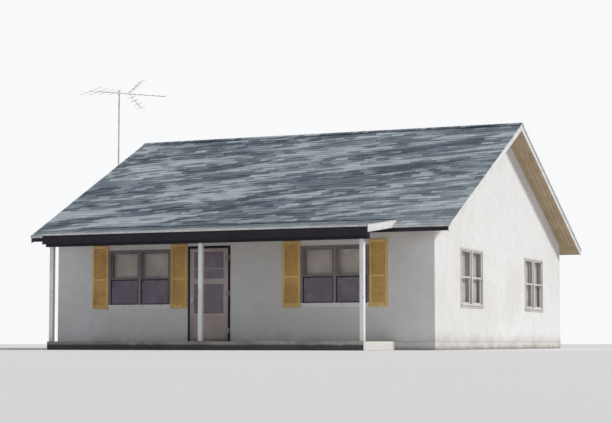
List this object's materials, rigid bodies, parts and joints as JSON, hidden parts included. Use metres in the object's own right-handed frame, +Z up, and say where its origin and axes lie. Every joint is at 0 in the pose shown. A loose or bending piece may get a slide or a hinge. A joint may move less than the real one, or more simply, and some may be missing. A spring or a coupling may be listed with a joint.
{
  "type": "rendered adobe farmhouse with a front porch",
  "caption": "Small single-storey farmhouse with white rendered adobe walls, a gable roof, a porch on posts, ochre shutters, an opening storm door and an aerial mast.",
  "frame": {"origin": "the middle of the house's footprint, on the ground", "axes": "+X to the right along the front as seen from outside, +Y from the front to the back, +Z up"},
  "size_m": [11.0272, 11.86, 6.6751],
  "materials": {
    "white_render": "matte painted render",
    "shingles": "matte mineral granules",
    "concrete": "matte, brushed",
    "plaster": "matte",
    "navy_paint": "satin paint, weathered",
    "pale_paint": "satin paint, weathered",
    "tan_boards": "matte",
    "ochre_paint": "matte paint, weathered",
    "grey_tan_metal": "satin",
    "bright_metal": "dull, weathered",
    "window_glass": "clear",
    "screen_mesh": "matte"
  },
  "bodies": {
    "house": {"floor_slab": "concrete", "porch_slab": "concrete", "front_wall_left": "white_render", "front_wall_right": "white_render", "front_wall_over_door": "white_render", "left_gable_wall": "white_render", "right_gable_wall": "white_render", "back_wall": "white_render", "ceiling": "plaster", "front_roof": "shingles", "back_roof": "shingles", "ridge_cap": "shingles", "front_fascia": "navy_paint", "back_fascia": "navy_paint", "left_rake_boards": "pale_paint", "right_rake_boards": "pale_paint", "eave_soffits": "tan_boards", "rake_soffits": "tan_boards", "porch_roof": "shingles", "porch_fascia": "navy_paint", "porch_end_boards": "pale_paint", "porch_ceiling": "tan_boards", "porch_beam": "pale_paint", "left_porch_post": "pale_paint", "middle_porch_post": "pale_paint", "right_porch_post": "pale_paint", "door_frame": "grey_tan_metal", "door_threshold": "concrete", "door_hinge_pins": "bright_metal", "left_window_frame": "pale_paint", "left_window_sashes": "grey_tan_metal", "right_window_frame": "pale_paint", "right_window_sashes": "grey_tan_metal", "front_window_glass": "window_glass", "front_window_screens": "screen_mesh", "left_gable_windows": "pale_paint", "right_gable_windows": "pale_paint", "back_windows": "pale_paint", "side_window_glass": "window_glass", "left_window_shutters": "ochre_paint", "right_window_shutters": "ochre_paint", "antenna_mast": "bright_metal", "mast_bracket": "bright_metal", "antenna": "bright_metal"},
    "door": {"storm_door": "grey_tan_metal", "storm_door_glass": "window_glass", "door_handle": "bright_metal", "door_hinge_sleeves": "bright_metal"}
  },
  "joints": [
    {"name": "door_hinge", "type": "hinge", "parent": "house", "child": "door", "pos_m": [-0.2075, -4.83, 1.2], "axis": [0, 0, 1], "range_deg": [0, 110]}
  ]
}
